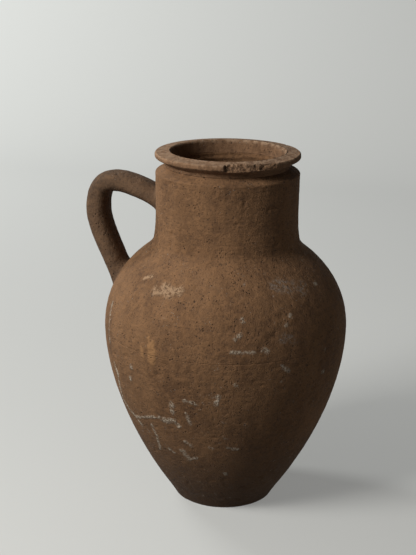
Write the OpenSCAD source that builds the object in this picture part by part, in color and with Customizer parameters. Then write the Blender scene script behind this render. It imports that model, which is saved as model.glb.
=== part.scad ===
// One-handled terracotta olive jar, thrown in sections that are luted together while the clay is soft.
// Millimetres, +Z up. The origin is the centre of the foot's underside, and the handle points to -X.
// Each section ends in a bevelled edge, higher inside than outside, and the next section sits on it,
// so every height but the first is measured from the piece below.

/* [Foot] */
// Diameter of the foot where it meets the ground
foot_d = 114; // [96:1:136]
// Height of the foot disc, up to its seam with the wall
foot_h = 16; // [12:1:26]
// Thickness of the floor in the middle
floor_t = 12; // [8:1:16]
// Flare of the foot's side, in degrees from the vertical
foot_flare = 31; // [15:1:38]
// Radius worn round the foot's lower edge
foot_edge_r = 1.6; // [0.6:0.1:3]

/* [Body] */
// Widest diameter of the body, at the seam between its two halves
belly_d = 272; // [230:1:320]
// Height of the lower half, from the foot to the widest line
lower_h = 187; // [150:1:230]
// Height of the upper half, from the widest line to the neck
shoulder_h = 92; // [76:1:120]
// Thickness of the body wall
wall_t = 10; // [7:0.5:14]
// Lean of the lower wall where it leaves the foot, in degrees from the vertical
cone_lean = 35; // [25:1:42]
// Reach of that lean up the lower wall
cone_pull = 62; // [40:1:80]
// Reach of the upright wall below the widest line
belly_pull_down = 62; // [40:1:80]
// Reach of the upright wall above the widest line
belly_pull_up = 42; // [25:1:55]
// Slope of the shoulder where it meets the neck, in degrees below the horizontal
shoulder_slope = 33; // [20:1:45]
// Reach of that slope out over the shoulder
shoulder_pull = 36; // [20:1:50]

/* [Neck] */
// Diameter of the neck at its seam with the shoulder
neck_base_d = 166; // [160:1:180]
// Diameter of the straight part of the neck
neck_d = 158; // [146:1:164]
// Height of the neck, from the shoulder to the edge of its ledge
neck_h = 83; // [60:1:110]
// Thickness of the neck wall
neck_t = 10; // [7:0.5:13]
// Diameter of the ledge round the top of the neck
ledge_d = 159; // [150:1:172]
// Climb of the ledge's bevel, from its edge to the waist under the rim
ledge_climb = 4.8; // [3:0.1:10]
// Radius of the ledge's edge
ledge_edge_r = 2.8; // [1:0.1:4]

/* [Rim] */
// Thickness of the wall between the mouth and the waist that carries the rim
waist_t = 6.5; // [4:0.5:10]
// Height of the waist
waist_h = 3.8; // [1:0.1:8]
// Height of the rim, from the waist to its lip
rim_h = 13.4; // [11:0.1:20]
// Outer diameter of the rim
rim_d = 160.2; // [152:0.1:176]
// Height of the rim's upright outer edge
rim_edge_h = 6.4; // [5:0.1:9]
// Radius of the rim's outer corners
rim_edge_r = 2.3; // [1:0.1:2.5]
// Fall of the rim's upper face from the lip to the outer edge
rim_fall = 1.6; // [0.4:0.1:2]
// Diameter of the mouth
mouth_d = 124; // [104:1:126]
// Radius of the lip round the mouth
lip_r = 3; // [1:0.1:4.5]

/* [Chip in the rim] */
// Direction of the chip's deep end, in degrees from -Y towards +X
chip_start = 11; // [0:1:60]
// Angle that each flake of the chip takes
chip_step = 9; // [4:1:14]
// Depth of the deepest flake, inwards on the rim's upper face
chip_depth = 8; // [3:0.5:10]
// Height of the flakes' lower end above the rim's lower edge
chip_lift = 1.4; // [0.5:0.1:4]

/* [Handle] */
// Distance from the ledge down to the handle's centre line on the neck
handle_drop = 34; // [26:1:44]
// Climb of the centre line where it leaves the neck, in degrees
handle_climb = 24; // [5:1:32]
// Distance from the neck's wall out to the centre line at the bend
handle_out = 70; // [56:1:90]
// Distance from the handle's seat on the neck down to the middle of the bend
handle_bend_drop = 17; // [8:1:30]
// Height above the widest line at which the centre line lands on the shoulder
handle_land = 40; // [24:1:52]
// Lean of the handle where it lands, in degrees from the vertical
handle_lean = 17; // [8:1:35]
// Width of the handle
handle_w = 40; // [26:0.5:52]
// Thickness of the handle near the neck
handle_t_top = 23; // [18:0.5:30]
// Thickness of the handle at its bend
handle_t_bend = 27; // [18:0.5:34]
// Thickness of the handle near the shoulder
handle_t_land = 24; // [18:0.5:30]

/* [Luting clay round the handle's ends] */
// Spread of the clay that is pressed round the handle at the neck
upper_lute_spread = 5; // [3:0.5:9]
// Length of that clay along the handle
upper_lute_len = 20; // [12:0.5:30]
// Spread of the clay that is pressed round the handle at the shoulder
lower_lute_spread = 4; // [2:0.5:8]
// Length of that clay along the handle, above the landing
lower_lute_len = 30; // [24:0.5:44]

/* [Hidden] */
$fn = 120;

// How much higher the inner edge of a bevelled seam is than its outer edge
seam_rise = 4;
// Segments of a wall's curve, of the neck's curves, and of a rounded corner
wall_steps = 16;
neck_steps = 12;
corner_steps = 6;
// Where a wall's inner curve starts and ends along its outer curve, clear of the bevelled seams
lower_inside_span = [0.1, 0.97];
shoulder_inside_span = [0.08, 0.94];
// Where the round of the ledge's edge gives way to its bevel, in degrees
ledge_round = 55;
// Where the round of the rim's lower corner starts, and where that of its upper corner ends, in degrees
rim_round_from = -60;
rim_round_to = 84;
// How far a cutting shape runs past what it cuts, and how much neighbouring cuts lap
over = 1;
lap = 0.01;

foot_r = foot_d / 2;
belly_r = belly_d / 2;
neck_base_r = neck_base_d / 2;
neck_r = neck_d / 2;
ledge_r = ledge_d / 2;
rim_r = rim_d / 2;
mouth_r = mouth_d / 2;
waist_r = mouth_r + waist_t;

belly_z = foot_h + lower_h;
neck_base_z = belly_z + shoulder_h;
ledge_z = neck_base_z + neck_h;
waist_z = ledge_z + ledge_climb;
lip_z = waist_z + waist_h + rim_h;
rim_top_z = lip_z - rim_fall;

// Curves, as lists of [radius, height]
function bezier(p, t) =
    pow(1 - t, 3) * p[0] + 3 * t * pow(1 - t, 2) * p[1] + 3 * t * t * (1 - t) * p[2] + pow(t, 3) * p[3];
function bezier_run(p, t) =
    3 * pow(1 - t, 2) * (p[1] - p[0]) + 6 * t * (1 - t) * (p[2] - p[1]) + 3 * t * t * (p[3] - p[2]);
function unit(v) = v / norm(v);
function curve(p, steps = wall_steps) = [for (i = [0 : steps]) bezier(p, i / steps)];
// A curve moved inwards by gap, as the inside of a wall whose outside is drawn upwards
function inner_point(p, t, gap) =
    let (run = unit(bezier_run(p, t))) bezier(p, t) + gap * [-run[1], run[0]];
function inner_curve(p, gap, span) =
    [for (i = [0 : wall_steps]) inner_point(p, span[0] + (span[1] - span[0]) * i / wall_steps, gap)];
function arc(centre, radius, from, to) =
    [for (i = [0 : corner_steps])
        let (a = from + (to - from) * i / corner_steps) centre + radius * [cos(a), sin(a)]];
function reversed(list) = [for (i = [len(list) - 1 : -1 : 0]) list[i]];

module revolve(outline) {
    rotate_extrude() polygon(outline);
}

// The seams, each from its outer edge to its inner edge
foot_seam_r = foot_r + foot_h * tan(foot_flare);
foot_seam = [[foot_seam_r, foot_h], [foot_seam_r - wall_t - seam_rise / 2, foot_h + seam_rise]];
belly_seam = [[belly_r, belly_z], [belly_r - wall_t, belly_z + seam_rise]];
neck_seam = [[neck_base_r, neck_base_z], [neck_base_r - neck_t, neck_base_z + seam_rise]];
waist_seam = [[waist_r, waist_z], [mouth_r, waist_z + seam_rise / 2]];

// The outside of the body's two halves
lower_curve = [
    foot_seam[0],
    foot_seam[0] + cone_pull * [sin(cone_lean), cos(cone_lean)],
    belly_seam[0] - [0, belly_pull_down],
    belly_seam[0]
];
shoulder_curve = [
    belly_seam[0],
    belly_seam[0] + [0, belly_pull_up],
    neck_seam[0] + shoulder_pull * [cos(shoulder_slope), -sin(shoulder_slope)],
    neck_seam[0]
];

// The outside of the neck sweeps in from the shoulder and is straight from half way up to the ledge
neck_sweep_h = neck_h / 2;
neck_sweep = [
    neck_seam[0],
    [neck_r + (neck_base_r - neck_r) / 3, neck_base_z + neck_sweep_h / 5],
    [neck_r, neck_base_z + neck_sweep_h / 2],
    [neck_r, neck_base_z + neck_sweep_h]
];
neck_outline = concat(
    curve(neck_sweep, neck_steps),
    arc([ledge_r - ledge_edge_r, ledge_z - ledge_edge_r], ledge_edge_r, 0, ledge_round),
    [waist_seam[0]]
);
// Its inside is a straight throat that draws in to the mouth under the rim
throat_r = neck_r - neck_t;
throat_curve = [
    [throat_r, neck_base_z + neck_sweep_h],
    [throat_r, waist_z - neck_t],
    [mouth_r, waist_z - neck_t],
    waist_seam[1]
];

// The foot

// The thrown disc that the jar stands on, dished a little inside its raised edge
module foot() {
    dish_edge = foot_seam[1] - [seam_rise, foot_seam[1][1] - floor_t];
    dish = [foot_seam[1], dish_edge, dish_edge - [wall_t / 2, 0], dish_edge - [wall_t, 0]];
    color("#4a3427") revolve(concat(
        [[0, 0]],
        arc([foot_r - foot_edge_r, foot_edge_r], foot_edge_r, -90, -foot_flare),
        [foot_seam[0]],
        curve(dish, corner_steps),
        [[0, floor_t]]
    ));
}

// The body

// The lower half, from the foot to the widest line
module lower_body() {
    color("#5d4130") revolve(concat(
        curve(lower_curve),
        reversed(concat([foot_seam[1]], inner_curve(lower_curve, wall_t, lower_inside_span), [belly_seam[1]]))
    ));
}

// The upper half, from the widest line over the shoulder to the neck
module upper_body() {
    color("#6b4a35") revolve(concat(
        curve(shoulder_curve),
        reversed(concat([belly_seam[1]], inner_curve(shoulder_curve, wall_t, shoulder_inside_span), [neck_seam[1]]))
    ));
}

// The neck and the rim

// The collar, with the ledge round its top that leads in to the waist
module neck() {
    color("#74503a") revolve(concat(
        neck_outline,
        reversed(concat([neck_seam[1]], curve(throat_curve, neck_steps)))
    ));
}

// One flake knocked off the rim's upper outer corner, as deep as given on the upper face
module flake(start, sweep, depth) {
    low_z = rim_top_z - rim_edge_h + chip_lift;
    rotate([0, 0, start - 90]) rotate_extrude(angle = sweep) polygon([
        [rim_r - depth, lip_z + over],
        [rim_r - depth, rim_top_z],
        [rim_r, low_z],
        [rim_r + over, low_z],
        [rim_r + over, lip_z + over]
    ]);
}

// The flanged rim: waist, sloping underside, rounded edge, falling upper face, lip and mouth, with an old
// chip in its edge. The chip's flakes run from its deep end to where it fades out.
module rim() {
    flake_shares = [0.82, 1, 0.86, 0.6];
    color("#7a553d") difference() {
        revolve(concat(
            [waist_seam[0], waist_seam[0] + [0, waist_h]],
            arc([rim_r - rim_edge_r, rim_top_z - rim_edge_h + rim_edge_r], rim_edge_r, rim_round_from, 0),
            arc([rim_r - rim_edge_r, rim_top_z - rim_edge_r], rim_edge_r, 0, rim_round_to),
            arc([mouth_r + lip_r, lip_z - lip_r], lip_r, 90, 180),
            [waist_seam[1]]
        ));
        for (i = [0 : len(flake_shares) - 1])
            flake(chip_start + i * chip_step, chip_step + lap, chip_depth * flake_shares[i]);
    }
}

// The handle

// Sides of the handle's section, stations along each half of it, and stations of the luting clay
strap_sides = 24;
strap_steps = 14;
lute_steps = 6;
// Squareness of the section: 2 is an ellipse
strap_power = 2.3;
// Reach of the centre line's direction at the neck, above the bend, below it, and at the shoulder
start_pull = 48;
bend_pull_up = 41;
bend_pull_down = 26;
land_pull = 34;
// How far the strap runs on into the wall, which it meets squarely at the neck and aslant at the shoulder
run_into_neck = 8;
run_into_shoulder = 34;
// Thickness of the luting clay at its thin edge, and the share of it that is left off the outer face
lute_edge_t = 0.8;
lute_bias = 0.7;
// How many times its spread the clay widens to inside the neck's wall
upper_lute_flare = 1.6;

// The centre line, from the neck to the bend and from the bend to the shoulder
start_point = [neck_r, ledge_z - handle_drop];
bend_point = [neck_r + handle_out, start_point[1] - handle_bend_drop];
land_z = belly_z + handle_land;
land_point = [lookup(land_z, [for (p = curve(shoulder_curve)) [p[1], p[0]]]), land_z];
upper_line = [
    start_point,
    start_point + start_pull * [cos(handle_climb), sin(handle_climb)],
    bend_point + [0, bend_pull_up],
    bend_point
];
lower_line = [
    bend_point,
    bend_point - [0, bend_pull_down],
    land_point + land_pull * [sin(handle_lean), cos(handle_lean)],
    land_point
];
// A station s runs from 0 at the neck through 1 at the bend to 2 at the shoulder
function line_at(s) = s < 1 ? bezier(upper_line, s) : bezier(lower_line, s - 1);
function run_at(s) = unit(s < 1 ? bezier_run(upper_line, s) : bezier_run(lower_line, s - 1));
function thickness_at(s) = lookup(s, [[0, handle_t_top], [1, handle_t_bend], [2, handle_t_land]]);
function rounded(c) = sign(c) * pow(abs(c), 2 / strap_power);

// One section, square to the centre line at station s, moved along it by shift and enlarged by spread.
// bias takes that share of the spread off the strap's outer face.
function strap_ring(s, spread = 0, shift = 0, bias = 0) =
    let (run = run_at(s), outwards = [-run[1], run[0]], centre = line_at(s) + shift * run)
    [for (i = [0 : strap_sides - 1])
        let (
            a = 360 * i / strap_sides,
            grow = spread * (1 - bias * (1 + cos(a)) / 2),
            p = centre + (thickness_at(s) / 2 + grow) * rounded(cos(a)) * outwards,
            y = (handle_w / 2 + grow) * rounded(sin(a))
        ) [-p[0], y, p[1]]];

// A closed skin over a list of rings that have the same number of points
module loft(rings) {
    sides = len(rings[0]);
    last = len(rings) - 1;
    polyhedron(
        points = [for (ring = rings) each ring],
        faces = concat(
            [[for (i = [0 : sides - 1]) i]],
            [for (k = [0 : last - 1], i = [0 : sides - 1])
                let (a = k * sides, b = a + sides, j = (i + 1) % sides) [a + i, b + i, b + j, a + j]],
            [[for (i = [sides - 1 : -1 : 0]) last * sides + i]]
        )
    );
}

// The whole strap, running on into the neck and the shoulder
module strap() {
    loft(concat(
        [strap_ring(0, shift = -run_into_neck)],
        [for (i = [0 : 2 * strap_steps]) strap_ring(i / strap_steps)],
        [strap_ring(2, shift = run_into_shoulder)]
    ));
}

// The jar's outside from the foot to the waist as one solid, to cut what sits on it
module seat() {
    revolve(concat(
        [[0, 0], foot_seam[0]],
        curve(lower_curve),
        curve(shoulder_curve),
        neck_outline,
        [[0, waist_z]]
    ));
}

// The pulled strap, cut to sit on the neck and on the shoulder
module handle() {
    color("#66493a") difference() {
        strap();
        seat();
    }
}

// Clay pressed round one end of the strap, from the wall at station s_wall to a thin edge at s_edge. It runs
// on into the wall as the strap does, and spreads there to flare times as much.
module lute(s_wall, s_edge, spread, run_on, flare) {
    difference() {
        loft(concat(
            [strap_ring(s_wall, lute_edge_t + spread * flare, run_on, lute_bias)],
            [for (i = [0 : lute_steps])
                let (u = i / lute_steps)
                strap_ring(
                    s_wall + (s_edge - s_wall) * u, lute_edge_t + spread * pow(1 - u, 2), 0, lute_bias
                )]
        ));
        strap();
        seat();
    }
}

module upper_handle_lute() {
    color("#6e4f3c") lute(0, upper_lute_len / (3 * start_pull), upper_lute_spread, -run_into_neck, upper_lute_flare);
}

module lower_handle_lute() {
    color("#5f4435")
        lute(2, 2 - lower_lute_len / (3 * land_pull), lower_lute_spread, run_into_shoulder + over, 1);
}

foot();
lower_body();
upper_body();
neck();
rim();
handle();
upper_handle_lute();
lower_handle_lute();
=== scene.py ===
import math

import bpy
import numpy as np
from mathutils import Matrix, Vector, noise


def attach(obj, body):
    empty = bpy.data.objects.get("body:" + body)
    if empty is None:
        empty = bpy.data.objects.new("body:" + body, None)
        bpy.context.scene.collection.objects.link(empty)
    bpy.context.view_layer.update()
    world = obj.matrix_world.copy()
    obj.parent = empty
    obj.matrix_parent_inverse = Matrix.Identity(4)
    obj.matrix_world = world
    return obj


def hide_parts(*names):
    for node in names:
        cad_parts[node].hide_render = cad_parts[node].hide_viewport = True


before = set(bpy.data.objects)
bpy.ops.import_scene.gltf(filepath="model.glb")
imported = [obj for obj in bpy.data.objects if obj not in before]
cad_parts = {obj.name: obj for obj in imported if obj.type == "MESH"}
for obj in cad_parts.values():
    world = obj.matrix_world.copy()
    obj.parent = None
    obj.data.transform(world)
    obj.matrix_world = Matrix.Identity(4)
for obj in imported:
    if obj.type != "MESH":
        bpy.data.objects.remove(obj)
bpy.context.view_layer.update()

MM = 0.001

# Sizes of the jar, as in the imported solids
FOOT_R = 57
FOOT_H = 16
FLOOR_T = 12
FOOT_FLARE = 31
FOOT_EDGE_R = 1.6
BELLY_R = 136
BELLY_Z = 203
WALL_T = 10
NECK_BASE_R = 83
NECK_BASE_Z = 295
NECK_R = 79
NECK_SWEEP_H = 41.5
LEDGE_R = 79.5
LEDGE_Z = 378
LEDGE_EDGE_R = 2.8
LEDGE_EDGE_TURN = 55
WAIST_R = 68.5
WAIST_Z = 382.8
WAIST_H = 3.8
RIM_R = 80.1
RIM_TOP_Z = 398.4
RIM_EDGE_H = 6.4
RIM_EDGE_R = 2.3
LIP_Z = 400
LIP_R = 3
MOUTH_R = 62
SEAM_RISE = 4

# How the belly's curves set off: degrees from upright at the foot and from level under the neck, and the
# lengths of the curves' control arms
LOWER_LEAN = 35
LOWER_ARM = 62
BELLY_ARM = 42
SHOULDER_SLOPE = 33
SHOULDER_ARM = 36

# The handle's centre line in its plane, as (distance from the jar's axis, height), and its section
HANDLE_UPPER = [(79, 344), (122.85, 363.52), (149, 368), (149, 327)]
HANDLE_LOWER = [(149, 327), (149, 301), (130.2, 275.5), (120.3, 243)]
HANDLE_T = (23, 27, 24)
HANDLE_W = 40
STRAP_POWER = 2.3

# How finely the pieces are divided
WALL_SIDES = 400
FOOT_SIDES = 256
RIM_SIDES = 1100
HANDLE_SIDES = 120
HANDLE_STEPS = 230
LUTE_SIDES = 120
FILLET_STEPS = 12
CURVE_SHARES = np.linspace(0, 1, 90)

# The thrown surface. A SCALE is that of the noise, per millimetre, and a DEPTH goes into the clay.
LEAST_SINK = 0.02
WOBBLE_SCALE = 0.011
WOBBLE_FLATTENING = 0.6
WOBBLE_DEPTH = 0.45
SPIRAL_RISE = 2.2
WHEEL_PITCH = 6.5
WHEEL_DEPTH = 0.03
WHEEL_BEND = 1.5
WHEEL_BEND_SCALE = 0.02
NECK_PITCH = 4.6
NECK_PITCH_Z = 290
NECK_WHEEL_EXTRA = 0.012
NECK_WHEEL_Z = 285
NECK_WHEEL_FADE = 20
INNER_PITCH = 7
INNER_RIDGE = 0.35
GRAIN_SCALE = 0.12
GRAIN_DEPTH = 0.16
PIT_SCALE = 0.09
PIT_SHIFT = 50
PIT_LEVEL = 0.42
PIT_DEPTH = 2.2

# The hollow between shoulder and neck, smoothed by hand up to SOFT_REACH above and below the seam
SOFT_REACH = 16
SOFT_SPAN = 7
SOFT_POWER = 0.7
SOFT_SAMPLES = 15

# Wear of the foot's edge, which ends at WEAR_H
WEAR_H = 6
WEAR_SCALE = 0.06
WEAR_DEPTH = 1.6
WEAR_LEAST_SINK = 0.4

# The chip in the rim's outer edge: its ends in degrees, over how many of them it deepens and fades, its
# depth at the rim's top and at the lower edge, and the roughness of its face
CHIP_START = 10.5
CHIP_END = 54
CHIP_ONSET = 1.6
CHIP_FADE = 30
CHIP_FADE_POWER = 0.55
CHIP_TOP_DEPTH = 7.6
CHIP_LOW_DEPTH = 3.4
CHIP_REACH_R = 70
CHIP_LEAST = 0.02
CHIP_RAGGED = 0.3
CHIP_RAGGED_SCALE = 0.17
CHIP_ROUGH = 1.1
CHIP_ROUGH_SCALE = 0.27
CHIP_ROUGH_SHIFT = 0.2

# The middle line of the chip's face, which the rim's clay darkens between these directions
CHIP_FACE_R = 77
CHIP_FACE_Z = 395.4
CHIP_FACE_W = 7
CHIP_FACE_STOPS = (CHIP_START + 2.5, 20, 30, 40)

# The rim is uneven in height too, above this height and inside this radius
UNEVEN_Z = WAIST_Z + RIM_EDGE_H
UNEVEN_R = RIM_R - 3
UNEVEN_SCALE = 0.05
UNEVEN_DEPTH = 0.25

# The pulled surface of the strap, with one groove along its outer face, PULL_GROOVE_Y off its middle
PULL_SCALE = 0.035
PULL_STRETCH = 0.5
PULL_DEPTH = 0.5
STRAP_GRAIN_DEPTH = 0.22
PULL_GROOVE_Y = 6
PULL_GROOVE_W = 4
PULL_GROOVE_DEPTH = 0.5

# How deep the strap's hidden ends and the lutes' edges and backs lie in the strap or the wall, and how
# uneven the lutes are
HANDLE_IN_WALL = 1.6
MEETING_DEPTH = 0.6
LUTE_WALL_EDGE = 0.9
LUTE_STRAP_EDGE = 0.15
LUTE_IN_STRAP = 2.0
LUTE_IN_CORNER = 3.0
LUTE_IN_WALL = 2.5
LUTE_UNEVEN = 0.25
LUTE_SCALE = 0.05

# Stations run along the handle's line, from 0 at the neck to 2 at the shoulder, and on beyond both ends.
# Lengths taken for one station: beyond the ends, and where the lutes lie.
STATION_BEYOND = 100
STATION_AT_LUTE = 110
HANDLE_FROM = -0.06
HANDLE_TO = 2.42
MEETING_STEPS = 240


def clamp(value):
    """The value held between 0 and 1."""
    return min(max(value, 0), 1)


# Curves and outlines, as arrays of (radius, height)

def bezier(p, t):
    p = np.array(p, float)
    t = np.asarray(t, float)[..., None]
    return (1 - t) ** 3 * p[0] + 3 * t * (1 - t) ** 2 * p[1] + 3 * t * t * (1 - t) * p[2] + t ** 3 * p[3]


def bezier_run(p, t):
    p = np.array(p, float)
    t = np.asarray(t, float)[..., None]
    run = 3 * (1 - t) ** 2 * (p[1] - p[0]) + 6 * t * (1 - t) * (p[2] - p[1]) + 3 * t * t * (p[3] - p[2])
    return run / np.linalg.norm(run, axis=-1, keepdims=True)


def arc(centre, radius, start, end, steps=10):
    a = np.radians(np.linspace(start, end, steps))
    return np.array(centre, float) + radius * np.stack([np.cos(a), np.sin(a)], axis=-1)


def inner_curve(p, start, end):
    """The wall's inside, a wall's thickness from the part of curve p between two shares of it."""
    t = np.linspace(start, end, 60)
    run = bezier_run(p, t)
    return bezier(p, t) + WALL_T * np.stack([-run[:, 1], run[:, 0]], axis=-1)


def evenly(points, spacing):
    """The same line with points at most spacing apart, keeping its own corners."""
    points = np.array(points, float)
    out = [points[0]]
    for a, b in zip(points[:-1], points[1:]):
        parts = max(1, math.ceil(np.linalg.norm(b - a) / spacing))
        out += [a + (b - a) * k / parts for k in range(1, parts + 1)]
    return np.array(out)


# Seams as (outer point, inner point)
foot_seam_r = FOOT_R + FOOT_H * math.tan(math.radians(FOOT_FLARE))
FOOT_SEAM = [(foot_seam_r, FOOT_H), (foot_seam_r - WALL_T - SEAM_RISE / 2, FOOT_H + SEAM_RISE)]
BELLY_SEAM = [(BELLY_R, BELLY_Z), (BELLY_R - WALL_T, BELLY_Z + SEAM_RISE)]
NECK_SEAM = [(NECK_BASE_R, NECK_BASE_Z), (NECK_BASE_R - WALL_T, NECK_BASE_Z + SEAM_RISE)]
WAIST_SEAM = [(WAIST_R, WAIST_Z), (MOUTH_R, WAIST_Z + SEAM_RISE / 2)]

lean = math.radians(LOWER_LEAN)
slope = math.radians(SHOULDER_SLOPE)
LOWER_CURVE = [
    FOOT_SEAM[0],
    (FOOT_SEAM[0][0] + LOWER_ARM * math.sin(lean), FOOT_SEAM[0][1] + LOWER_ARM * math.cos(lean)),
    (BELLY_R, BELLY_Z - LOWER_ARM),
    BELLY_SEAM[0],
]
SHOULDER_CURVE = [
    BELLY_SEAM[0],
    (BELLY_R, BELLY_Z + BELLY_ARM),
    (NECK_BASE_R + SHOULDER_ARM * math.cos(slope), NECK_BASE_Z - SHOULDER_ARM * math.sin(slope)),
    NECK_SEAM[0],
]
NECK_SWEEP = [
    NECK_SEAM[0],
    (NECK_R + (NECK_BASE_R - NECK_R) / 3, NECK_BASE_Z + NECK_SWEEP_H / 5),
    (NECK_R, NECK_BASE_Z + NECK_SWEEP_H / 2),
    (NECK_R, NECK_BASE_Z + NECK_SWEEP_H),
]
THROAT_CURVE = [
    (NECK_R - WALL_T, NECK_BASE_Z + NECK_SWEEP_H),
    (NECK_R - WALL_T, WAIST_Z - WALL_T),
    (MOUTH_R, WAIST_Z - WALL_T),
    WAIST_SEAM[1],
]

LOWER_OUTSIDE = bezier(LOWER_CURVE, CURVE_SHARES)
SHOULDER_OUTSIDE = bezier(SHOULDER_CURVE, CURVE_SHARES)
NECK_OUTSIDE = np.vstack([
    bezier(NECK_SWEEP, CURVE_SHARES),
    arc((LEDGE_R - LEDGE_EDGE_R, LEDGE_Z - LEDGE_EDGE_R), LEDGE_EDGE_R, 0, LEDGE_EDGE_TURN),
    [WAIST_SEAM[0]],
])
JAR_OUTSIDE = np.vstack([[(FOOT_R, 0)], LOWER_OUTSIDE, SHOULDER_OUTSIDE, NECK_OUTSIDE])

LOWER_INSIDE = np.vstack([[FOOT_SEAM[1]], inner_curve(LOWER_CURVE, 0.1, 0.97), [BELLY_SEAM[1]]])
SHOULDER_INSIDE = np.vstack([[BELLY_SEAM[1]], inner_curve(SHOULDER_CURVE, 0.08, 0.94), [NECK_SEAM[1]]])
NECK_INSIDE = np.vstack([[NECK_SEAM[1]], bezier(THROAT_CURVE, np.linspace(0, 1, 40))])


def wall_radius(z):
    """Radius of the jar's outside at a height, from the foot to the waist."""
    return np.interp(z, JAR_OUTSIDE[:, 1], JAR_OUTSIDE[:, 0])


def softened(r, z):
    """The outside's radius with the hollow between shoulder and neck smoothed by hand."""
    share = clamp(1 - abs(z - NECK_BASE_Z) / SOFT_REACH) ** SOFT_POWER
    if share == 0:
        return r
    nearby = float(wall_radius(np.linspace(z - SOFT_SPAN, z + SOFT_SPAN, SOFT_SAMPLES)).mean())
    return r + (nearby - r) * share


# The surface's unevenness, the same for all pieces so that it runs on across their seams

def bumps(x, y, z, scale, octaves):
    return noise.fractal(Vector((x * scale, y * scale, z * scale)), 1.0, 2.0, octaves)


def spiral(z, azimuth):
    """Height counted along the rising line that the thrower's finger draws."""
    return z + SPIRAL_RISE * azimuth / math.pi


def sink(azimuth, z, radius):
    """How far the thrown wall lies inside its ideal outline."""
    x = radius * math.sin(azimuth)
    y = -radius * math.cos(azimuth)
    wobble = WOBBLE_DEPTH * (1 + bumps(x, y, z * WOBBLE_FLATTENING, WOBBLE_SCALE, 2))
    on_neck = clamp((z - NECK_WHEEL_Z) / NECK_WHEEL_FADE)
    depth = NECK_WHEEL_EXTRA * on_neck + WHEEL_DEPTH
    pitch = NECK_PITCH if z > NECK_PITCH_Z else WHEEL_PITCH
    bend = WHEEL_BEND * bumps(x, y, z, WHEEL_BEND_SCALE, 2)
    wheel = depth * (1 + math.sin(2 * math.pi * spiral(z, azimuth) / pitch + bend))
    grain = GRAIN_DEPTH * (1 + bumps(x, y, z, GRAIN_SCALE, 3))
    pit = max(0.0, bumps(x + PIT_SHIFT, y, z, PIT_SCALE, 2) - PIT_LEVEL) * PIT_DEPTH
    return max(LEAST_SINK, wobble + wheel + grain + pit)


def chipped(r, z, azimuth):
    """Moves a point of the rim's outline in to the rough face of the chip."""
    degrees = math.degrees(azimuth)
    if not CHIP_START < degrees < CHIP_END or r < CHIP_REACH_R:
        return r, z
    ragged = bumps(degrees * CHIP_RAGGED_SCALE, 3.0, 0.0, 1.0, 2)
    onset = clamp((degrees - CHIP_START) / CHIP_ONSET)
    fade = clamp((CHIP_END - degrees) / CHIP_FADE) ** CHIP_FADE_POWER
    share = onset * fade * (1 + CHIP_RAGGED * ragged)
    if share <= CHIP_LEAST:
        return r, z
    inner_r = RIM_R - CHIP_TOP_DEPTH * share
    low_r = RIM_R - CHIP_LOW_DEPTH * share
    # The face runs from the top at inner_r down and out to the lower edge at low_r
    dr = low_r - inner_r
    dz = RIM_EDGE_H
    face_length = math.hypot(dr, dz)
    beyond = ((r - inner_r) * dz + (z - RIM_TOP_Z) * dr) / face_length
    if beyond <= 0:
        return r, z
    x = r * math.sin(azimuth)
    y = r * math.cos(azimuth)
    rough = CHIP_ROUGH * bumps(x, y, z, CHIP_ROUGH_SCALE, 3) - CHIP_ROUGH_SHIFT
    step = beyond - min(rough, beyond)
    return r - step * dz / face_length, z - step * dr / face_length


# Making pieces

def add_object(name, data):
    obj = bpy.data.objects.new(name, data)
    bpy.context.scene.collection.objects.link(obj)
    return obj


def make_object(name, verts, faces):
    mesh = bpy.data.meshes.new(name)
    mesh.from_pydata(verts, [], faces)
    mesh.update()
    mesh.polygons.foreach_set("use_smooth", [True] * len(mesh.polygons))
    return add_object(name, mesh)


def ring_faces(rows, sides, closed_rows=False):
    """Faces between rows of sides points, each row a closed ring."""
    faces = []
    last = rows if closed_rows else rows - 1
    for k in range(last):
        a = k * sides
        b = ((k + 1) % rows) * sides
        for i in range(sides):
            j = (i + 1) % sides
            faces.append((a + i, a + j, b + j, b + i))
    return faces


def cap(verts, faces, first, sides, flip):
    """Closes the ring that starts at first with a fan round its middle."""
    ring = np.array(verts[first:first + sides])
    verts.append(tuple(ring.mean(axis=0)))
    middle = len(verts) - 1
    for i in range(sides):
        here = first + i
        after = first + (i + 1) % sides
        faces.append((after, here, middle) if flip else (here, after, middle))


def make_capped(name, verts, rows, sides):
    """A piece from rows of sides points, with a fan over the first row and one over the last."""
    faces = ring_faces(rows, sides)
    cap(verts, faces, 0, sides, flip=True)
    cap(verts, faces, (rows - 1) * sides, sides, flip=False)
    return make_object(name, verts, faces)


def revolved(outline, sides, shaped):
    """Points of the outline turned round the axis, each moved by shaped(row, r, z, azimuth), in metres."""
    verts = []
    for row, (r, z) in enumerate(outline):
        for i in range(sides):
            azimuth = 2 * math.pi * i / sides - math.pi
            r_new, z_new = shaped(row, r, z, azimuth)
            verts.append((r_new * math.sin(azimuth) * MM, -r_new * math.cos(azimuth) * MM, z_new * MM))
    return verts


def make_thrown(name, outside, inside, sides, outer_surface, inner_ridge):
    """A ring of clay, revolved from its outside going up and its inside coming down."""
    outline = [(softened(r, z), z) for r, z in outside] + [(r, z) for r, z in inside]
    inner_corners = (len(outside), len(outline) - 1)

    def shaped(row, r, z, azimuth):
        if row < len(outside):
            return outer_surface(r, z, azimuth)
        if row in inner_corners:
            return r, z
        return r + inner_ridge * (1 + math.sin(2 * math.pi * spiral(z, azimuth) / INNER_PITCH)), z

    verts = revolved(outline, sides, shaped)
    return make_object(name, verts, ring_faces(len(outline), sides, closed_rows=True))


def wall_surface(r, z, azimuth):
    return r - sink(azimuth, z, r), z


def make_wall(name, outside, inside, spacing):
    """A wall between two seams. Both of its sides are given from below upwards."""
    outer = evenly(outside, spacing)
    inner = evenly(inside[::-1], spacing * 3)
    return make_thrown(name, outer, inner, WALL_SIDES, wall_surface, INNER_RIDGE)


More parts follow.
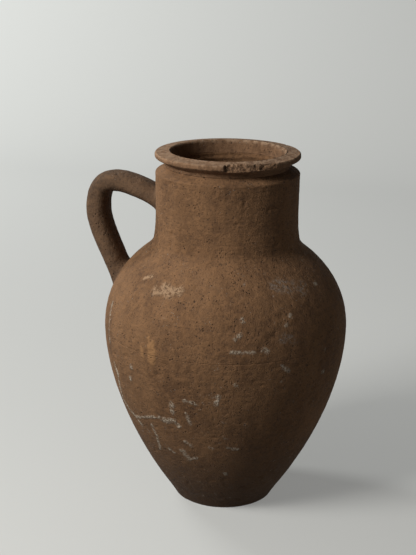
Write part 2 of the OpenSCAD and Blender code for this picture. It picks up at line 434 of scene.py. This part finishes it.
def make_foot():
    """The disc that the jar stands on, with a worn edge and a dished floor."""
    cap_r = 4
    under = evenly([(cap_r, 0), (FOOT_R - FOOT_EDGE_R, 0)], 6)
    edge = arc((FOOT_R - FOOT_EDGE_R, FOOT_EDGE_R), FOOT_EDGE_R, -90, -FOOT_FLARE)
    side = evenly([edge[-1], FOOT_SEAM[0]], 1.2)
    dish_r = FOOT_SEAM[1][0] - SEAM_RISE
    dish_curve = [FOOT_SEAM[1], (dish_r, FLOOR_T), (dish_r - WALL_T / 2, FLOOR_T), (dish_r - WALL_T, FLOOR_T)]
    dish = bezier(dish_curve, np.linspace(0, 1, 12))
    floor = evenly([dish[-1], (cap_r, FLOOR_T)], 6)[1:]
    outline = np.vstack([under[:-1], edge, side[1:], dish, floor])
    outside_from = len(under)
    outside_to = len(under) - 1 + len(edge) + len(side) - 1

    def shaped(row, r, z, azimuth):
        if not outside_from <= row < outside_to:
            return r, z
        share = clamp(z / WEAR_H)
        wear = max(0.0, bumps(r * math.sin(azimuth), r * math.cos(azimuth), 0, WEAR_SCALE, 2))
        sunk = sink(azimuth, z, r) * (WEAR_LEAST_SINK + (1 - WEAR_LEAST_SINK) * share)
        return r - sunk - wear * (1 - share) * WEAR_DEPTH, z

    verts = revolved(outline, FOOT_SIDES, shaped)
    return make_capped("foot_disc", verts, len(outline), FOOT_SIDES)


def rim_surface(r, z, azimuth):
    """The rim's outside, with its chip and its unevenness in height."""
    r_new, z_new = chipped(r - sink(azimuth, z, r), z, azimuth)
    if z_new > UNEVEN_Z and r_new < UNEVEN_R:
        x = r * math.sin(azimuth)
        y = r * math.cos(azimuth)
        z_new -= UNEVEN_DEPTH * (1 + bumps(x, y, 7.0, UNEVEN_SCALE, 2))
    return r_new, z_new


def make_rim():
    """The waist, the sloping underside, the flange's edge, its falling upper face and the lip."""
    waist_top = (WAIST_R, WAIST_Z + WAIST_H)
    edge_r = RIM_R - RIM_EDGE_R
    low_z = RIM_TOP_Z - RIM_EDGE_H
    slope_end = (RIM_R - 2.4, low_z + 0.2)
    outside = np.vstack([
        evenly([WAIST_SEAM[0], waist_top], 1),
        evenly([waist_top, slope_end], 0.8)[1:-1],
        arc((edge_r, low_z + RIM_EDGE_R), RIM_EDGE_R, -60, 0, 7),
        evenly([(RIM_R, low_z + RIM_EDGE_R), (RIM_R, RIM_TOP_Z - RIM_EDGE_R)], 0.5)[1:-1],
        arc((edge_r, RIM_TOP_Z - RIM_EDGE_R), RIM_EDGE_R, 0, 84, 8),
        evenly([(edge_r + 0.2, RIM_TOP_Z), (MOUTH_R + LIP_R, LIP_Z)], 0.5)[1:],
    ])
    inside = np.vstack([
        arc((MOUTH_R + LIP_R, LIP_Z - LIP_R), LIP_R, 90, 180, 9)[1:],
        evenly([(MOUTH_R, LIP_Z - LIP_R), WAIST_SEAM[1]], 1.5)[1:],
    ])
    return make_thrown("flanged_rim", outside, inside, RIM_SIDES, rim_surface, 0)


# The handle: a strap swept along its centre line, in its own plane on the -X side

def line_at(s):
    """Centre, direction and thickness of the strap at station s."""
    curve, first = (HANDLE_UPPER, 0) if s < 1 else (HANDLE_LOWER, 1)
    t = clamp(s - first)
    run = bezier_run(curve, t)
    centre = bezier(curve, t) + STATION_BEYOND * (s - first - t) * run
    return centre, run, np.interp(s, [0, 1, 2], HANDLE_T)


def squared(c):
    return math.copysign(abs(c) ** (2 / STRAP_POWER), c)


def strap_point(s, angle):
    """A point of the strap's plain surface, and its outward direction in the section."""
    centre, run, thickness = line_at(s)
    outwards = np.array([-run[1], run[0]])
    cosine, sine = math.cos(angle), math.sin(angle)
    p = centre + thickness / 2 * squared(cosine) * outwards
    y = HANDLE_W / 2 * squared(sine)
    normal = np.array([-outwards[0] * cosine, sine, outwards[1] * cosine])
    return np.array([-p[0], y, p[1]]), normal


def strap_surface(s, angle):
    """The strap's surface with its hand-pulled unevenness, which only takes clay away."""
    p, normal = strap_point(s, angle)
    pulled = PULL_DEPTH * (1 + bumps(p[0] * PULL_STRETCH, p[1], p[2] * PULL_STRETCH, PULL_SCALE, 2))
    grain = STRAP_GRAIN_DEPTH * (1 + bumps(p[0], p[1], p[2], GRAIN_SCALE, 3))
    across = math.exp(-((p[1] - PULL_GROOVE_Y) / PULL_GROOVE_W) ** 2)
    groove = PULL_GROOVE_DEPTH * across * max(0.0, math.cos(angle))
    return p - normal * (pulled + grain + groove)


def at_radius(p, radius):
    """The point moved level to a radius from the jar's axis."""
    r = math.hypot(p[0], p[1])
    return np.array([p[0] * radius / r, p[1] * radius / r, p[2]])


def moved_in(p, depth, radius):
    """The point at that radius, moved level towards the jar's axis."""
    share = 1 - depth / radius
    return p * np.array([share, share, 1])


def outside_wall(p, depth):
    """Keeps a point at least as far out as the wall's surface less depth."""
    least = float(wall_radius(p[2])) - depth
    return at_radius(p, least) if math.hypot(p[0], p[1]) < least else p


def make_handle():
    verts = []
    for s in np.linspace(HANDLE_FROM, HANDLE_TO, HANDLE_STEPS):
        for i in range(HANDLE_SIDES):
            p = strap_surface(s, 2 * math.pi * i / HANDLE_SIDES)
            verts.append(tuple(outside_wall(p, HANDLE_IN_WALL) * MM))
    return make_capped("strap_handle", verts, HANDLE_STEPS, HANDLE_SIDES)


def meeting_station(angle, start, end):
    """The station between start, inside the wall, and end, outside it, where the strap leaves the wall."""
    for s in np.linspace(start, end, MEETING_STEPS):
        p, _ = strap_point(s, angle)
        if math.hypot(p[0], p[1]) > wall_radius(p[2]) - MEETING_DEPTH:
            return s
    return end


def make_lute(name, start, end, length, spread, bias):
    """Clay smoothed round one end of the strap: a hollow-curved fillet from the wall to the strap.

    It reaches length along the strap and spread along the wall, less by the share bias on the outer face.
    """
    towards = 1 if end > start else -1
    columns = []
    for i in range(LUTE_SIDES):
        angle = 2 * math.pi * i / LUTE_SIDES
        less = 1 - bias * (1 + math.cos(angle)) / 2
        s_meet = meeting_station(angle, start, end)
        corner = strap_surface(s_meet, angle)
        _, normal = strap_point(s_meet, angle)
        uneven = 1 + LUTE_UNEVEN * bumps(corner[0], corner[1], corner[2], LUTE_SCALE, 2)

        wall_end = corner + normal * spread * less * uneven
        wall_end_r = float(wall_radius(wall_end[2])) - LUTE_WALL_EDGE
        wall_end = at_radius(wall_end, wall_end_r)
        s_end = s_meet + towards * length * less * uneven / STATION_AT_LUTE
        _, end_normal = strap_point(s_end, angle)
        strap_end = strap_surface(s_end, angle) - end_normal * LUTE_STRAP_EDGE
        fillet = []
        for k in range(FILLET_STEPS):
            t = k / (FILLET_STEPS - 1)
            fillet.append((1 - t) ** 2 * wall_end + 2 * t * (1 - t) * corner + t * t * strap_end)

        in_strap = corner - normal * LUTE_IN_STRAP
        hidden = [
            strap_end - end_normal * LUTE_IN_STRAP,
            corner - normal * LUTE_IN_CORNER,
            moved_in(in_strap, LUTE_IN_CORNER, math.hypot(in_strap[0], in_strap[1])),
            moved_in(wall_end, LUTE_IN_WALL, wall_end_r),
        ]
        columns.append(fillet + hidden)
    verts = [tuple(p * MM) for row in zip(*columns) for p in row]
    return make_object(name, verts, ring_faces(len(columns[0]), LUTE_SIDES, closed_rows=True))


# Materials, which work in metres. Noise is given by its scale per metre, its detail and its roughness.

BODY_LIGHT = (0.205, 0.108, 0.050, 1)
BODY_DARK = (0.105, 0.052, 0.023, 1)
RIM_LIGHT = (0.235, 0.130, 0.068, 1)
RIM_DARK = (0.130, 0.068, 0.033, 1)
HANDLE_LIGHT = (0.135, 0.078, 0.043, 1)
HANDLE_DARK = (0.062, 0.035, 0.019, 1)
DARK_GRAIN = (0.035, 0.022, 0.015, 1)
DARK_PIT = (0.03, 0.018, 0.012, 1)
PALE_GRIT = (0.42, 0.36, 0.29, 1)
WHEEL_LINE = (0.06, 0.037, 0.025, 1)
WORN_EDGE = (0.40, 0.30, 0.21, 1)
CHIP_DARK = (0.045, 0.024, 0.013, 1)
CHIP_GRIT = (0.23, 0.135, 0.075, 1)
# Painted shade for the jar's lower end, which faces down to the floor
PAINTED_FOOT_SHADE = (0.035, 0.021, 0.014, 1)
HAZE = (0.22, 0.19, 0.16, 1)
OCHRE = (0.36, 0.19, 0.08, 1)
SAND = (0.38, 0.245, 0.145, 1)
WHITE = (0.56, 0.46, 0.35, 1)
DUST = (0.34, 0.28, 0.22, 1)
PAPER = (0.395, 0.40, 0.385, 1)
# Painted fill light: the sweep's own glow
PAPER_PAINTED_FILL = (1.0, 1.0, 0.965, 1)


class Material:
    """A new material, with short ways to add its nodes."""

    def __init__(self, name):
        self.material = bpy.data.materials.new(name)
        self.material.use_nodes = True
        self.tree = self.material.node_tree
        self.tree.nodes.clear()

    def add(self, kind, **settings):
        node = self.tree.nodes.new(kind)
        for key, value in settings.items():
            setattr(node, key, value)
        return node

    def feed(self, socket, value):
        if isinstance(value, bpy.types.NodeSocket):
            self.tree.links.new(value, socket)
        else:
            socket.default_value = value

    def finish(self, inputs):
        """Ends the material with a principled shader, whose inputs are given by name."""
        shader = self.add("ShaderNodeBsdfPrincipled")
        for name, value in inputs.items():
            self.feed(shader.inputs[name], value)
        out = self.add("ShaderNodeOutputMaterial")
        self.feed(out.inputs["Surface"], shader.outputs["BSDF"])
        return self.material


class Clay(Material):
    """A clay in the making: the colour and the height for its bumps, to which layers are added."""

    def __init__(self, name):
        super().__init__(name)
        self.colour = None
        self.height = None
        self.place = self.add("ShaderNodeTexCoord").outputs["Object"]
        parts = self.add("ShaderNodeSeparateXYZ")
        self.feed(parts.inputs[0], self.place)
        self.z = parts.outputs["Z"]

    def math(self, operation, a, b):
        node = self.add("ShaderNodeMath", operation=operation)
        self.feed(node.inputs[0], a)
        self.feed(node.inputs[1], b)
        return node.outputs[0]

    def plus(self, a, b):
        return self.math("ADD", a, b)

    def times(self, a, b):
        return self.math("MULTIPLY", a, b)

    def vector(self, operation, a, b=(0, 0, 0)):
        node = self.add("ShaderNodeVectorMath", operation=operation)
        self.feed(node.inputs[0], a)
        self.feed(node.inputs[1], b)
        return node.outputs["Value"] if operation in ("DOT_PRODUCT", "LENGTH") else node.outputs["Vector"]

    def scaled(self, vector, factor):
        node = self.add("ShaderNodeVectorMath", operation="SCALE")
        self.feed(node.inputs[0], vector)
        self.feed(node.inputs["Scale"], factor)
        return node.outputs["Vector"]

    def noise(self, scale, detail, roughness, stretch=(1, 1, 1), move=(0, 0, 0)):
        place = self.place
        if stretch != (1, 1, 1):
            place = self.vector("MULTIPLY", place, stretch)
        if move != (0, 0, 0):
            place = self.vector("ADD", place, move)
        node = self.add("ShaderNodeTexNoise")
        self.feed(node.inputs["Vector"], place)
        node.inputs["Scale"].default_value = scale
        node.inputs["Detail"].default_value = detail
        node.inputs["Roughness"].default_value = roughness
        return node.outputs["Fac"]

    def ragged(self, scale, move):
        """Noise about nought that frays the edge of a mark."""
        return self.math("SUBTRACT", self.noise(scale, 4, 0.7, move=move), 0.5)

    def cells(self, scale):
        node = self.add("ShaderNodeTexVoronoi")
        self.feed(node.inputs["Vector"], self.place)
        node.inputs["Scale"].default_value = scale
        return node.outputs["Distance"]

    def ramp(self, value, low, high, start=0.0, end=1.0):
        node = self.add("ShaderNodeMapRange", interpolation_type="SMOOTHSTEP")
        for socket, number in zip(node.inputs, (value, low, high, start, end)):
            self.feed(socket, number)
        return node.outputs["Result"]

    def mix(self, share, a, b):
        # Of the mix node's sockets, 6 and 7 in and 2 out are those for colours
        node = self.add("ShaderNodeMix", data_type="RGBA")
        self.feed(node.inputs[0], share)
        self.feed(node.inputs[6], a)
        self.feed(node.inputs[7], b)
        return node.outputs[2]

    def greatest(self, values):
        total = values[0]
        for value in values[1:]:
            total = self.math("MAXIMUM", total, value)
        return total

    def cover(self, share, colour):
        """Lays a colour over what is there."""
        self.colour = self.mix(share, self.colour, colour)

    def lift(self, mask, amount):
        """Raises the surface where the mask is."""
        self.height = self.plus(self.height, self.times(mask, amount))

    def near_line(self, frayed, a, b, width):
        """Mask of what lies near the line from a to b, with a frayed edge, width in mm across."""
        run = b - a
        from_a = self.vector("SUBTRACT", self.place, tuple(a))
        along = self.vector("DOT_PRODUCT", from_a, tuple(run / run.length_squared))
        held = self.math("MINIMUM", self.math("MAXIMUM", along, 0.0), 1.0)
        away = self.vector("LENGTH", self.vector("SUBTRACT", from_a, self.scaled(tuple(run), held)))
        half = width / 2 * MM
        fray_depth = half * 1.6 + 7 * MM
        full_within = half * 0.4
        gone_beyond = half * 1.35 + 1.9 * MM
        return self.ramp(self.plus(away, self.times(frayed, fray_depth)), full_within, gone_beyond, 1.0, 0.0)

    def marks(self, frayed, places):
        """Mask of deposits, each as (start, end, width)."""
        return self.greatest([self.near_line(frayed, on_jar(*start), on_jar(*end), width)
                              for start, end, width in places])


def around(degrees, r, z):
    """The point in a direction, at a distance from the axis and at a height, in metres."""
    a = math.radians(degrees)
    return Vector((r * math.sin(a), -r * math.cos(a), z)) * MM


def on_jar(degrees, z):
    """The point just under the jar's ideal outside in a direction and at a height, in metres."""
    depth = 0.5
    return around(degrees, float(wall_radius(z)) - depth, z)


# Deposits on the body: (start, end, width), with places as (degrees round the jar, height)
WHITE_MARKS = [
    ((-57.6, 237), (-55, 195), 2.2),
    ((-52, 172), (-49.5, 158), 2.5),
    ((-49.5, 158), (-54, 127), 2.4),
    ((-54, 125), (-49, 119.8), 3.0),
    ((-49, 119.8), (-42.7, 114.5), 2.4),
    ((-42.7, 113.3), (-27.9, 124.8), 1.5),
    ((-27.9, 124.8), (-19.9, 129.3), 1.4),
    ((-39.7, 109.2), (-38.5, 106.5), 4.0),
    ((-11.8, 149.9), (-11.5, 148), 4.5),
    ((-12.1, 141.1), (-12, 140), 2.6),
    ((-17.8, 126.6), (-12.2, 129.4), 4.2),
    ((-27.6, 114), (-26.6, 97.2), 1.5),
    ((-26.6, 97.2), (-28.2, 81), 1.5),
    ((-19.5, 87), (-19.3, 86), 2.4),
    ((-17.3, 83.2), (-17, 82.5), 2.2),
    ((-10.4, 87.9), (-7.2, 77.7), 4.0),
    ((-7.2, 77.7), (-2.2, 81.6), 2.0),
    ((-7, 102.7), (-6.6, 102), 2.4),
    ((-4.4, 98.7), (-4, 98), 2.2),
    ((6.6, 98.5), (7.5, 98.4), 1.8),
    ((16.2, 99.6), (21.2, 97), 1.6),
    ((14.9, 60.6), (15.4, 60), 1.8),
    ((-9.9, 123.8), (-9.6, 123), 2.4),
    ((-4.3, 141.1), (-3, 129), 1.6),
    ((-4.8, 157.6), (0.5, 155.3), 1.4),
    ((-34, 182.3), (-34, 181), 2.4),
    ((-36.2, 167.3), (-36, 166.5), 2.4),
    ((11.4, 166.7), (10.4, 157.3), 2.4),
    ((18.5, 181.1), (19, 180), 2.0),
    ((22, 247.9), (22.4, 247), 2.2),
    ((18.2, 229.4), (20.9, 233.7), 1.8),
    ((46.2, 247.4), (46.6, 246.8), 2.2),
    ((43.2, 239.2), (43.5, 238.5), 2.2),
    ((40, 197.1), (43.7, 190), 2.0),
    ((65.9, 177.2), (66.5, 176.6), 2.0),
    ((16.8, 216.4), (26.9, 215.2), 1.0),
    ((31, 216.9), (33, 215.8), 3.0),
    ((71, 269), (72.5, 268.4), 2.4),
]
SAND_MARKS = [
    ((-26.5, 265.7), (-12, 270.4), 8.5),
    ((-21, 270.5), (-17, 267), 12),
    ((-38.8, 273.1), (-34.4, 276.7), 2.2),
]
OCHRE_MARKS = [
    ((-20.9, 214), (-20.5, 198), 9.0),
    ((-22.7, 221.2), (-21, 212), 3.5),
    ((-26.4, 208), (-26, 200), 3.0),
]
HAZE_MARKS = [
    ((43, 274.5), (60, 269.5), 15),
    ((40.5, 226.5), (45.5, 224.5), 10),
]


def add_wheel_lines(clay, strength):
    """Fine dark lines round the jar, slightly bent."""
    bend = clay.times(clay.noise(14, 2, 0.5), 0.004)
    level = clay.plus(clay.z, bend)
    node = clay.add("ShaderNodeTexNoise", noise_dimensions="1D")
    clay.feed(node.inputs["W"], clay.times(level, 420.0))
    node.inputs["Detail"].default_value = 3
    lines = node.outputs["Fac"]
    clay.cover(clay.times(clay.ramp(lines, 0.52, 0.34), 0.55 * strength), WHEEL_LINE)
    clay.lift(lines, 1.3 * strength)


def add_broken_face(clay):
    """The chip's face, darker and coarse, with pale grit."""
    frayed = clay.ragged(230, (1, 7, 3))
    stops = [around(degrees, CHIP_FACE_R, CHIP_FACE_Z) for degrees in CHIP_FACE_STOPS]
    face = clay.greatest([clay.near_line(frayed, a, b, CHIP_FACE_W) for a, b in zip(stops[:-1], stops[1:])])
    grit = clay.ramp(clay.noise(420, 3, 0.7, move=(3, 3, 9)), 0.44, 0.6)
    speckle = clay.mix(grit, CHIP_DARK, CHIP_GRIT)
    clay.cover(clay.times(face, 0.8), speckle)
    clay.lift(face, clay.noise(300, 3, 0.8))


def add_deposits(clay):
    """What the ground left on the body: grey haze, ochre, sand, white crust and pale dust."""
    frayed = clay.ragged(230, (1, 7, 3))
    torn = clay.ragged(90, (4, 4, 8))

    haze_gaps = clay.ramp(clay.noise(260, 3, 0.7, move=(2, 8, 5)), 0.42, 0.62)
    haze = clay.times(clay.marks(torn, HAZE_MARKS), haze_gaps)
    clay.cover(clay.times(haze, 0.55), HAZE)

    ochre = clay.marks(torn, OCHRE_MARKS)
    clay.cover(clay.times(ochre, 0.62), OCHRE)

    sand_gaps = clay.ramp(clay.noise(300, 3, 0.7, move=(6, 1, 1)), 0.36, 0.5)
    sand = clay.times(clay.marks(torn, SAND_MARKS), sand_gaps)
    clay.cover(clay.times(sand, 0.72), SAND)

    white_gaps = clay.ramp(clay.noise(420, 3, 0.7, move=(8, 3, 2)), 0.36, 0.6)
    white = clay.times(clay.marks(frayed, WHITE_MARKS), white_gaps)
    clay.cover(clay.times(white, 0.95), WHITE)

    flecks = clay.ramp(clay.noise(130, 5, 0.75, move=(11, 3, 7)), 0.60, 0.68)
    patches = clay.ramp(clay.noise(22, 3, 0.6, move=(2, 12, 7)), 0.50, 0.64)
    clay.cover(clay.times(clay.times(flecks, patches), 0.5), DUST)

    for mask, amount in ((sand, 0.8), (ochre, 0.4), (white, 0.9)):
        clay.lift(mask, amount)


def make_clay(name, light, dark, wheel=0.0, mottle=0.5, deposits=False, worn_z=None, chip=False):
    """Matte fired clay: two browns in clouds, dark pits, pale grit, wheel lines and old deposits."""
    clay = Clay(name)
    clouds = clay.noise(16, 5, 0.6)
    streaks = clay.noise(42, 4, 0.6, stretch=(1, 1, 0.28))
    grain = clay.noise(520, 3, 0.7)
    coarse = clay.noise(150, 4, 0.65, move=(3, 1, 2))

    share = clay.plus(clay.times(clouds, 1 - mottle), clay.times(streaks, mottle))
    lighter = (*(1.3 * c for c in light[:3]), 1)
    clay.colour = clay.mix(clay.ramp(share, 0.33, 0.66), dark, light)
    clay.cover(clay.ramp(coarse, 0.35, 0.7, 0.0, 0.55), lighter)
    clay.cover(clay.ramp(grain, 0.46, 0.30, 0.0, 0.8), DARK_GRAIN)

    pit_patches = clay.ramp(clay.noise(90, 2, 0.5, move=(5, 5, 5)), 0.5, 0.62)
    pits = clay.times(clay.ramp(clay.cells(260), 0.3, 0.12), pit_patches)
    clay.cover(clay.times(pits, 0.45), DARK_PIT)
    grit_patches = clay.ramp(clay.noise(60, 2, 0.5, move=(9, 2, 4)), 0.56, 0.7)
    grit = clay.times(clay.ramp(clay.cells(330), 0.2, 0.1), grit_patches)
    clay.cover(clay.times(grit, 0.75), PALE_GRIT)

    clay.height = clay.times(grain, 0.5)
    for mask, amount in ((coarse, 1.0), (pits, -0.9), (grit, 0.5)):
        clay.lift(mask, amount)

    if wheel:
        add_wheel_lines(clay, wheel)
    if worn_z:
        worn = clay.times(clay.ramp(clay.z, *worn_z), clay.ramp(coarse, 0.4, 0.6))
        clay.cover(clay.times(worn, 0.35), WORN_EDGE)
    if chip:
        add_broken_face(clay)
    # Painted shade: the jar darkens towards its foot, where its lower end faces down to the floor
    painted_foot_shade = clay.ramp(clay.plus(clay.z, clay.times(clouds, 0.05)), 0.16, 0.03)
    clay.cover(clay.times(painted_foot_shade, 0.7), PAINTED_FOOT_SHADE)
    if deposits:
        add_deposits(clay)

    bump = clay.add("ShaderNodeBump")
    bump.inputs["Strength"].default_value = 0.85
    bump.inputs["Distance"].default_value = 0.0017
    clay.feed(bump.inputs["Height"], clay.height)
    return clay.finish({
        "Base Color": clay.colour,
        "Roughness": clay.ramp(coarse, 0.3, 0.7, 0.82, 0.97),
        "Normal": bump.outputs["Normal"],
        "Specular IOR Level": 0.28,
    })


body_clay = make_clay("body_clay", BODY_LIGHT, BODY_DARK, wheel=0.15, deposits=True)
neck_clay = make_clay("neck_clay", BODY_LIGHT, BODY_DARK, wheel=0.2)
rim_clay = make_clay("rim_clay", RIM_LIGHT, RIM_DARK, wheel=0.25, mottle=0.2, worn_z=(0.394, 0.4), chip=True)
handle_clay = make_clay("handle_clay", HANDLE_LIGHT, HANDLE_DARK, mottle=0.3)

# The pieces

foot_disc = make_foot()
lower_body_wall = make_wall("lower_body_wall", LOWER_OUTSIDE, LOWER_INSIDE, 1.4)
upper_body_wall = make_wall("upper_body_wall", SHOULDER_OUTSIDE, SHOULDER_INSIDE, 1.3)
neck_collar = make_wall("neck_collar", NECK_OUTSIDE, NECK_INSIDE, 0.8)
flanged_rim = make_rim()
strap_handle = make_handle()
upper_luting_clay = make_lute("upper_luting_clay", -0.08, 0.5, length=18, spread=6, bias=0.8)
lower_luting_clay = make_lute("lower_luting_clay", 2.4, 1.5, length=20, spread=5, bias=0.6)

made = [
    (foot_disc, "foot", "dark_terracotta", body_clay),
    (lower_body_wall, "lower_body", "body_terracotta", body_clay),
    (upper_body_wall, "upper_body", "body_terracotta", body_clay),
    (neck_collar, "neck", "neck_terracotta", neck_clay),
    (flanged_rim, "rim", "neck_terracotta", rim_clay),
    (strap_handle, "handle", "handle_terracotta", handle_clay),
    (upper_luting_clay, "upper_handle_lute", "handle_terracotta", handle_clay),
    (lower_luting_clay, "lower_handle_lute", "handle_terracotta", handle_clay),
]
for piece, node, slot, clay in made:
    piece.data.materials.append(clay)
    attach(piece, "root")
    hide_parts(node)

# The floor, which curves up into the backdrop

FLOOR_HALF = 4.0
FLOOR_FRONT_Y = -4.0
BACK_Y = 2.5
BACK_H = 4.0
COVE_R = 0.9
COVE_STEPS = 24

profile = [(FLOOR_FRONT_Y, 0.0), (BACK_Y - COVE_R, 0.0)]
for step in range(1, COVE_STEPS + 1):
    a = math.radians(90 * step / COVE_STEPS)
    profile.append((BACK_Y - COVE_R + COVE_R * math.sin(a), COVE_R - COVE_R * math.cos(a)))
profile.append((BACK_Y, BACK_H))
sweep_verts = [(x, y, z) for y, z in profile for x in (-FLOOR_HALF, FLOOR_HALF)]
sweep_faces = [(2 * k, 2 * k + 1, 2 * k + 3, 2 * k + 2) for k in range(len(profile) - 1)]
sweep = make_object("pale_sweep", sweep_verts, sweep_faces)
# The sweep glows a little: painted fill light, which lightens the whole sweep and the jar's shadow on it
paper = Material("pale_paper").finish({
    "Base Color": PAPER,
    "Emission Color": PAPER_PAINTED_FILL,
    "Emission Strength": 0.22,
    "Roughness": 0.9,
    "Specular IOR Level": 0.1,
})
sweep.data.materials.append(paper)
# The jar's dark side stays dark, as with black boards beside it: the sweep throws no light back on it
sweep.visible_diffuse = False

# Camera and light

CAMERA_AT = Vector((0.3193, -1.2808, 0.6563))
CAMERA_AIM = Vector((-0.01967, -0.0049, 0.25519))
CAMERA_ROLL = -0.00953
CAMERA_LENS = 106.9
ROOM_COLOUR = (0.92, 0.97, 1.0, 1)
ROOM_STRENGTH = 0.055


def facing(place, aim):
    return (aim - place).to_track_quat("-Z", "Y")


camera_data = bpy.data.cameras.new("camera")
camera_data.sensor_fit = "HORIZONTAL"
camera_data.sensor_width = 36
camera_data.lens = CAMERA_LENS
camera = add_object("camera", camera_data)
camera.location = CAMERA_AT
roll = Matrix.Rotation(-CAMERA_ROLL, 3, "Z")
camera.rotation_euler = (facing(CAMERA_AT, CAMERA_AIM).to_matrix() @ roll).to_euler()
bpy.context.scene.camera = camera


def area_light(name, place, aim, size, power, colour):
    data = bpy.data.lights.new(name, "AREA")
    data.shape = "RECTANGLE"
    data.size, data.size_y = size
    data.energy = power
    data.color = colour
    lamp = add_object(name, data)
    lamp.location = place
    lamp.rotation_euler = facing(Vector(place), Vector(aim)).to_euler()


area_light("key", (-0.93, -1.13, 1.22), (0, 0, 0.22), (0.7, 0.7), 34, (1.0, 0.985, 0.96))
area_light("low_fill", (1.1, -0.5, 0.12), (0, 0, 0.12), (0.8, 0.2), 0.9, (1.0, 0.95, 0.9))
area_light("backdrop_wash", (-2.1, 1.0, 1.9), (-1.1, 2.5, 0.5), (1.2, 0.9), 62, (0.98, 1.0, 1.0))

world = bpy.data.worlds.new("room")
bpy.context.scene.world = world
world.use_nodes = True
background = world.node_tree.nodes["Background"]
background.inputs["Color"].default_value = ROOM_COLOUR
background.inputs["Strength"].default_value = ROOM_STRENGTH
bpy.context.scene.view_settings.view_transform = "Standard"
